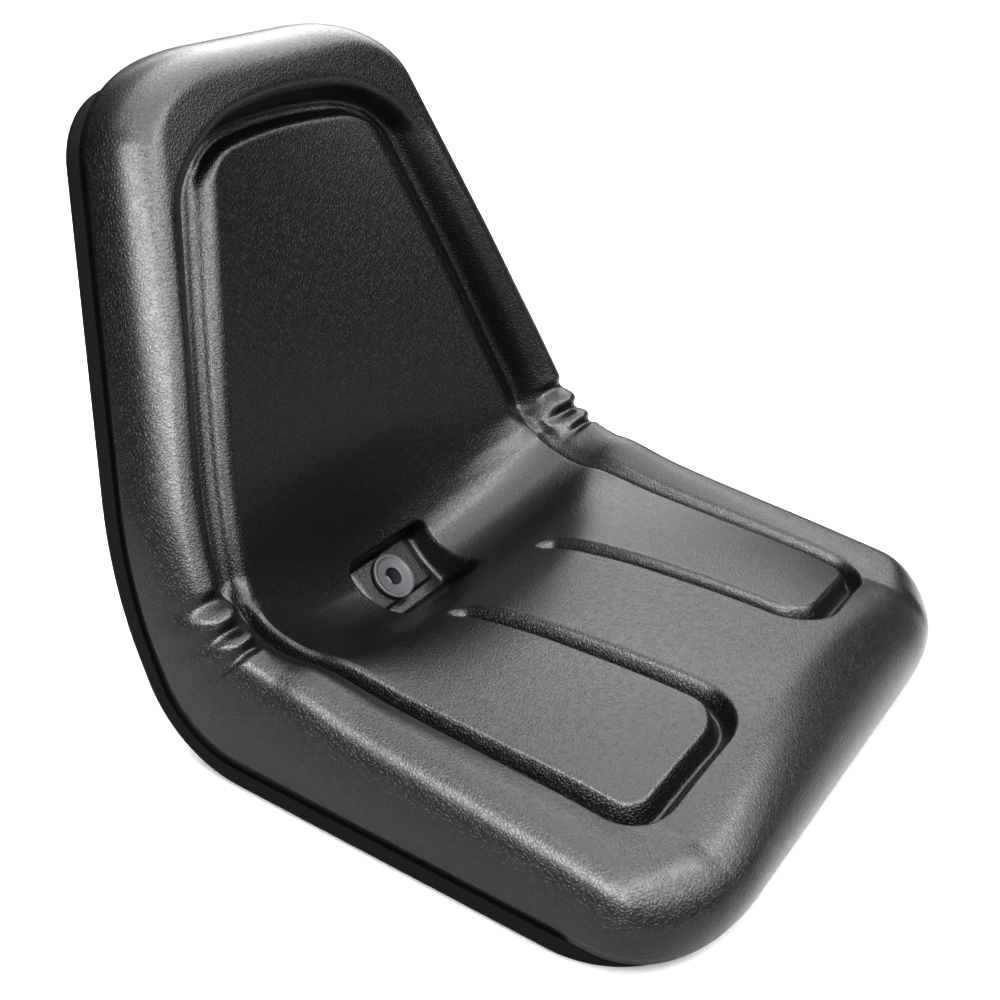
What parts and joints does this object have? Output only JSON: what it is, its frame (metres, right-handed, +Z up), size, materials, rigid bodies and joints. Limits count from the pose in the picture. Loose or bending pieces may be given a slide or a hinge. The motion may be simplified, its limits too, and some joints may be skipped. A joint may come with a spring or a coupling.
{
  "type": "tractor seat",
  "caption": "Bucket seat for a garden tractor: a black moulded cushion with a panelled back, thigh pads and a gathered waist, in a pressed steel pan with a drain.",
  "frame": {"origin": "centre of the mounting holes on the flat underside of the pan", "axes": "+Z up, -Y the way the sitter faces, +X to the sitter's left"},
  "size_m": [0.4584, 0.5291, 0.4146],
  "materials": {
    "pan_paint": "black powder coat, fine texture",
    "cushion_vinyl": "black vinyl skin with a fine leather grain, satin",
    "grommet_plastic": "dark grey moulded plastic",
    "nut_steel": "zinc plated"
  },
  "bodies": {
    "root": {"seat_pan": "pan_paint", "moulded_cushion": "cushion_vinyl", "drain_grommet": "grommet_plastic", "weld_nuts": "nut_steel"}
  },
  "joints": []
}
